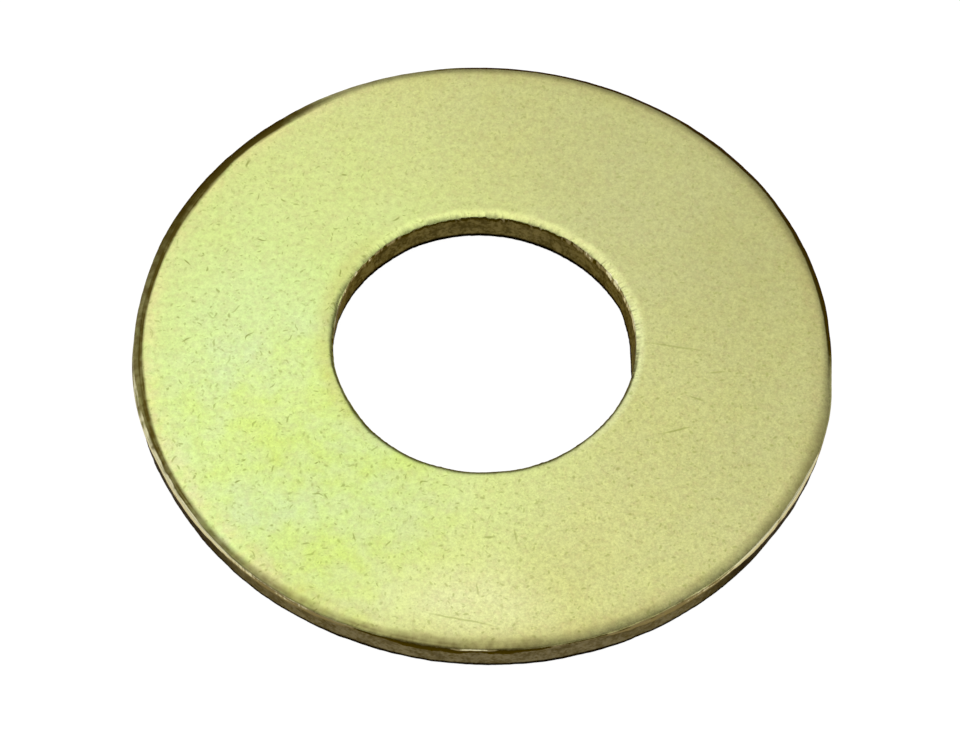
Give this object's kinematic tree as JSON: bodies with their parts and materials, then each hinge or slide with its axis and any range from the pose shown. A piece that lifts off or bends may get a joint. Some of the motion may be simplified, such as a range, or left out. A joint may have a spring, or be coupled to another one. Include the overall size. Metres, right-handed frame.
{
  "type": "flat washer",
  "caption": "Flat round washer stamped from yellow-chromated steel sheet, with rolled upper edges, that spreads a bolt head's or nut's load round its hole.",
  "frame": {"origin": "centre of the hole on the underside, the face that lies on the work", "axes": "+Z along the hole's axis, out of the face with the rolled edges"},
  "size_m": [0.0254, 0.0254, 0.0015],
  "materials": {
    "plated_steel": "zinc plate with a yellow chromate film, satin, mottled khaki gold with a green cast, scuffed by tumbling"
  },
  "bodies": {
    "root": {"washer": "plated_steel"}
  },
  "joints": []
}
